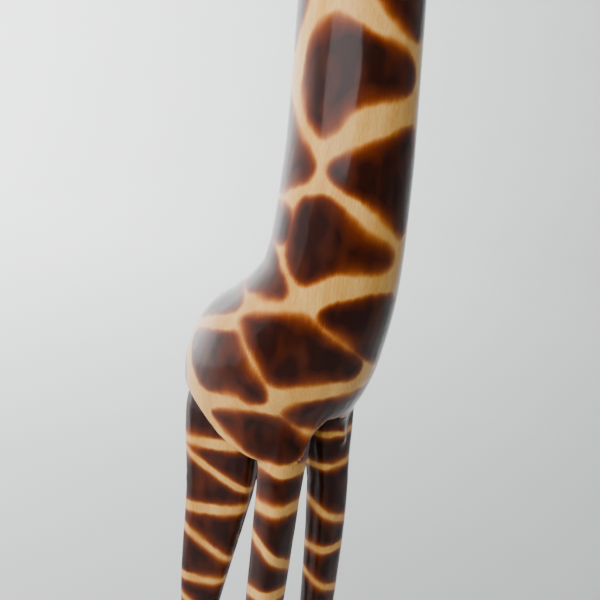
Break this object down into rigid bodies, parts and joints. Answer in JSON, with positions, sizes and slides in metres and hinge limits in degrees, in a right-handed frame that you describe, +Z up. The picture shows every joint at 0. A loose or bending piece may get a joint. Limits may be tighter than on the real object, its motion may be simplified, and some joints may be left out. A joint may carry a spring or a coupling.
{
  "type": "carved wooden giraffe statue",
  "caption": "Tall slender carved giraffe on long tapering legs, with let-in head, ears, horns, eyes and tail, scorched in patches and lacquered.",
  "frame": {"origin": "centre of the overall box on the floor plane, between the four hooves", "axes": "+X the way the animal faces, +Y to its left, +Z up"},
  "size_m": [0.2436, 0.132, 1.22],
  "materials": {
    "scorched_wood": "pale wood torch-scorched in dark brown patches under clear gloss lacquer",
    "ear_wood": "pale wood with scorched edges under clear gloss lacquer",
    "dark_wood": "scorched nearly black under clear gloss lacquer",
    "bare_wood": "bare turned hardwood",
    "eye_bead": "polished black bead"
  },
  "bodies": {
    "statue": {"carved_body": "scorched_wood", "head": "scorched_wood", "neck_dowel": "bare_wood", "horn_left": "dark_wood", "horn_right": "dark_wood", "eye_left": "eye_bead", "eye_right": "eye_bead", "tail": "dark_wood"},
    "ear_left": {"ear_left": "ear_wood"},
    "ear_right": {"ear_right": "ear_wood"}
  },
  "joints": [
    {"name": "ear_left_pull", "type": "slide", "parent": "statue", "child": "ear_left", "axis": [-0.309, 0.8065, 0.504], "range_m": [0, 0.016]},
    {"name": "ear_right_pull", "type": "slide", "parent": "statue", "child": "ear_right", "axis": [-0.309, -0.8065, 0.504], "range_m": [0, 0.016]}
  ]
}
